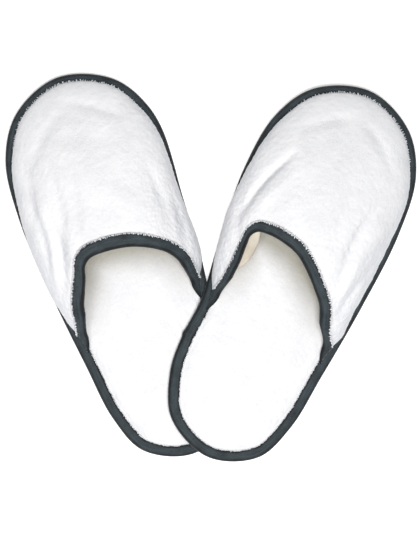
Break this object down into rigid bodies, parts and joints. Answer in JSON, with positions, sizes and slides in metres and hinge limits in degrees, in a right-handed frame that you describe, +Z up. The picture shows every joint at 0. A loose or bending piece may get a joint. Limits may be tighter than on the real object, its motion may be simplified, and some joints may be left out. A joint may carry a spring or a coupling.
{
  "type": "spa slippers",
  "caption": "Closed-toe terry spa slippers lying in a V, the heel of one resting on the other, with padded soles and dark tape sewn round the soles and throats.",
  "frame": {"origin": "on the floor, in the middle of the bounding box of the pair", "axes": "+Z up; +Y towards the toes, halfway between the two soles; +X towards the wearer's right"},
  "size_m": [0.2928, 0.276, 0.0502],
  "materials": {
    "eva_foam": "closed-cell foam, finely stippled underneath",
    "sponge_foam": "open-cell foam sheet, hidden",
    "white_terry": "looped and brushed terry pile, matte",
    "slate_tape": "woven binding tape, soft sheen",
    "slate_thread": "polyester sewing thread",
    "cream_lining": "smooth non-woven lining"
  },
  "bodies": {
    "left_slipper": {"left_outsole": "eva_foam", "left_foam_core": "sponge_foam", "left_terry_insole": "white_terry", "left_sole_tape": "slate_tape", "left_sole_seam": "slate_thread", "left_vamp_terry": "white_terry", "left_vamp_padding": "sponge_foam", "left_vamp_lining": "cream_lining", "left_throat_tape": "slate_tape", "left_throat_seam": "slate_thread"},
    "right_slipper": {"right_outsole": "eva_foam", "right_foam_core": "sponge_foam", "right_terry_insole": "white_terry", "right_sole_tape": "slate_tape", "right_sole_seam": "slate_thread", "right_vamp_terry": "white_terry", "right_vamp_padding": "sponge_foam", "right_vamp_lining": "cream_lining", "right_throat_tape": "slate_tape", "right_throat_seam": "slate_thread"}
  },
  "joints": [
    {"name": "right_slipper_lift", "type": "slide", "parent": "left_slipper", "child": "right_slipper", "axis": [0, 0, 1], "range_m": [0, 0.15]}
  ]
}
